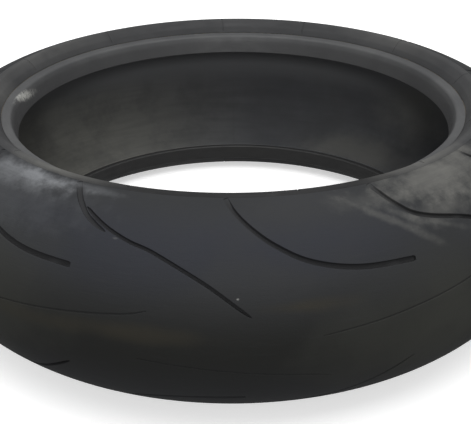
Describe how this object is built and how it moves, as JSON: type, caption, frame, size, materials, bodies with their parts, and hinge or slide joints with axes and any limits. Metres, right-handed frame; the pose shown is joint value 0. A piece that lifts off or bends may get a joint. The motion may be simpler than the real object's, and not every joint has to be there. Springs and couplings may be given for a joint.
{
  "type": "motorcycle tire",
  "caption": "Radial sport motorcycle rear tire, off its rim, with a round tread profile and long curved grooves, built as nested rubber, cord and wire rings.",
  "frame": {"origin": "the wheel centre: on the wheel axis, halfway between the two sidewalls", "axes": "+Z along the wheel axis, so the tire lies on its side; +X and +Y are in the wheel plane"},
  "size_m": [0.638, 0.638, 0.1888],
  "materials": {
    "tread_rubber": "matt, worn, slightly dusty",
    "sidewall_rubber": "matt moulded rubber",
    "rim_strip_rubber": "smooth moulded rubber, slightly polished by the rim",
    "liner_rubber": "smooth butyl rubber",
    "cushion_rubber": "plain rubber",
    "filler_rubber": "hard plain rubber",
    "ply_cord": "rubber-coated rayon cord",
    "belt_cord": "rubber-coated aramid cord",
    "wrap_fabric": "rubber-coated nylon weave",
    "bead_wire": "bronze-coated drawn steel wire"
  },
  "bodies": {
    "root": {"tread_centre": "tread_rubber", "tread_shoulder_upper": "tread_rubber", "tread_shoulder_lower": "tread_rubber", "tread_base": "cushion_rubber", "zero_degree_belt": "belt_cord", "crossed_belt": "belt_cord", "belt_edge_strip_upper": "cushion_rubber", "belt_edge_strip_lower": "cushion_rubber", "carcass_ply_outer": "ply_cord", "carcass_ply_inner": "ply_cord", "inner_liner": "liner_rubber", "bead_core_upper": "bead_wire", "bead_core_lower": "bead_wire", "bead_wrap_upper": "wrap_fabric", "bead_wrap_lower": "wrap_fabric", "bead_filler_upper": "filler_rubber", "bead_filler_lower": "filler_rubber", "rim_strip_upper": "rim_strip_rubber", "rim_strip_lower": "rim_strip_rubber", "sidewall_upper": "sidewall_rubber", "sidewall_lower": "sidewall_rubber"}
  },
  "joints": []
}
